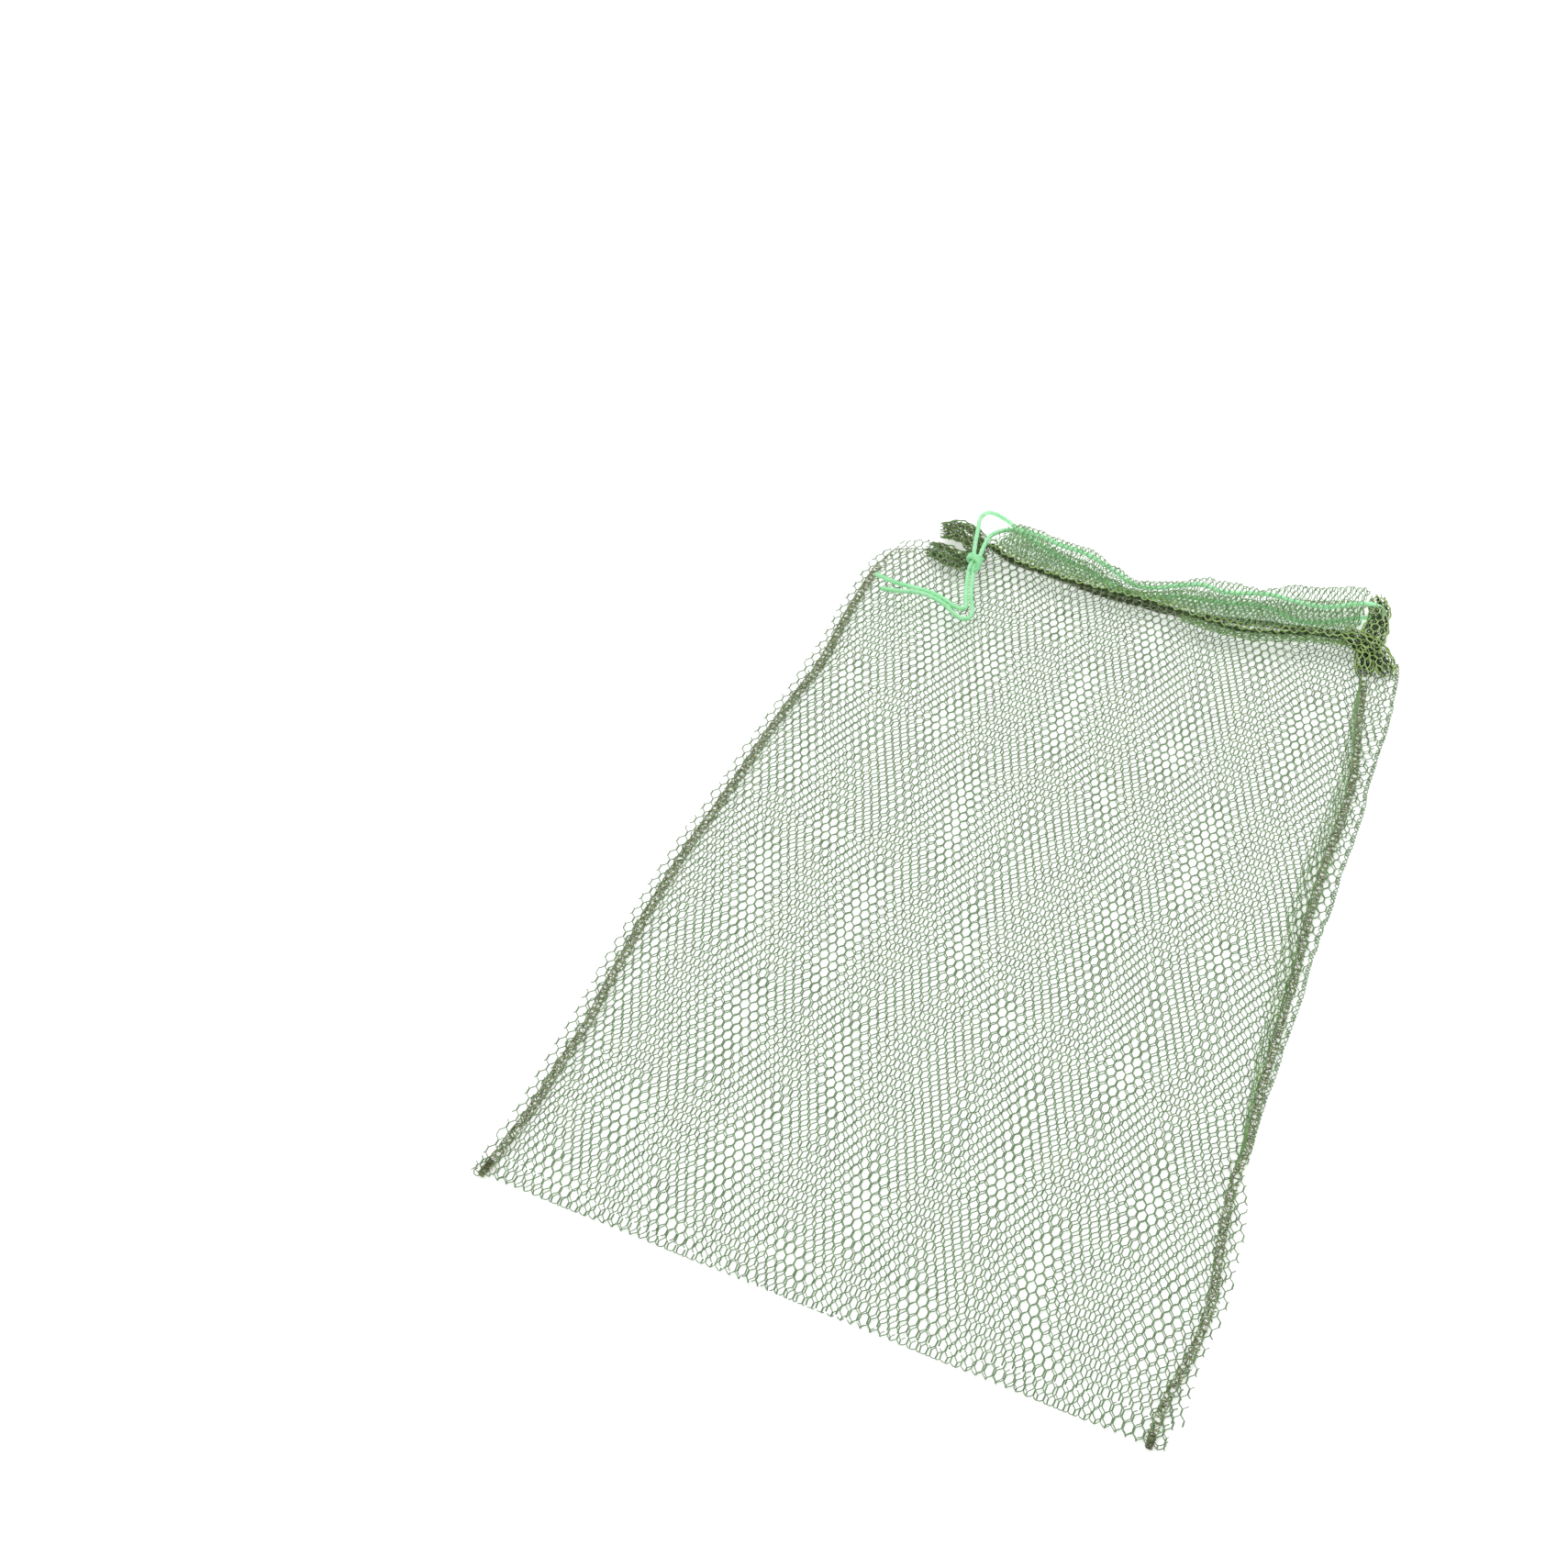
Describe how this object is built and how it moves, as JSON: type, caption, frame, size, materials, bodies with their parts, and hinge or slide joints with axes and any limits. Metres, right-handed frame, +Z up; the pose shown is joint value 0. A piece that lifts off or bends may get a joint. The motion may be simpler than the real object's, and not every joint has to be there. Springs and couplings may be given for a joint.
{
  "type": "drawstring net bag",
  "caption": "Flat drawstring bag of hexagonal net with a stitched mouth hem, side seams, and a drawcord knotted at one end of the mouth.",
  "frame": {"origin": "under the middle of the bag's outline, on the surface it lies on", "axes": "+X across the bag, +Y from the bottom fold to the mouth, +Z up"},
  "size_m": [0.3138, 0.5126, 0.0184],
  "materials": {
    "net": "satin polyester knitted net",
    "seam_thread": "matte overlock thread",
    "cord": "soft braided cord"
  },
  "bodies": {
    "bag": {"upper_net_panel": "net", "lower_net_panel": "net", "bottom_fold": "net", "left_side_seam": "seam_thread", "right_side_seam": "seam_thread", "left_corner_tack": "seam_thread", "right_corner_tack": "seam_thread", "left_seam_allowance": "net", "right_seam_allowance": "net", "upper_hem_channel": "net", "lower_hem_channel": "net", "upper_hem_stitching": "seam_thread", "lower_hem_stitching": "seam_thread", "left_mouth_bunch": "net", "right_mouth_bunch": "net", "drawcord_in_hem": "cord", "drawcord_leg_a": "cord", "drawcord_leg_b": "cord"},
    "cord_end": {"overhand_knot": "cord"},
    "cord_tails": {"drawcord_tail_a": "cord", "drawcord_tail_b": "cord"}
  },
  "joints": [
    {"name": "drawcord_pull", "type": "slide", "parent": "bag", "child": "cord_end", "axis": [0.15, -0.9887, 0], "range_m": [0, 0.06], "deforming": ["drawcord_leg_a", "drawcord_leg_b"]},
    {"name": "tail_swing", "type": "hinge", "parent": "cord_end", "child": "cord_tails", "pos_m": [-0.0924, 0.1962, 0.0116], "axis": [0, 0, 1], "range_deg": [-12, 35]}
  ]
}
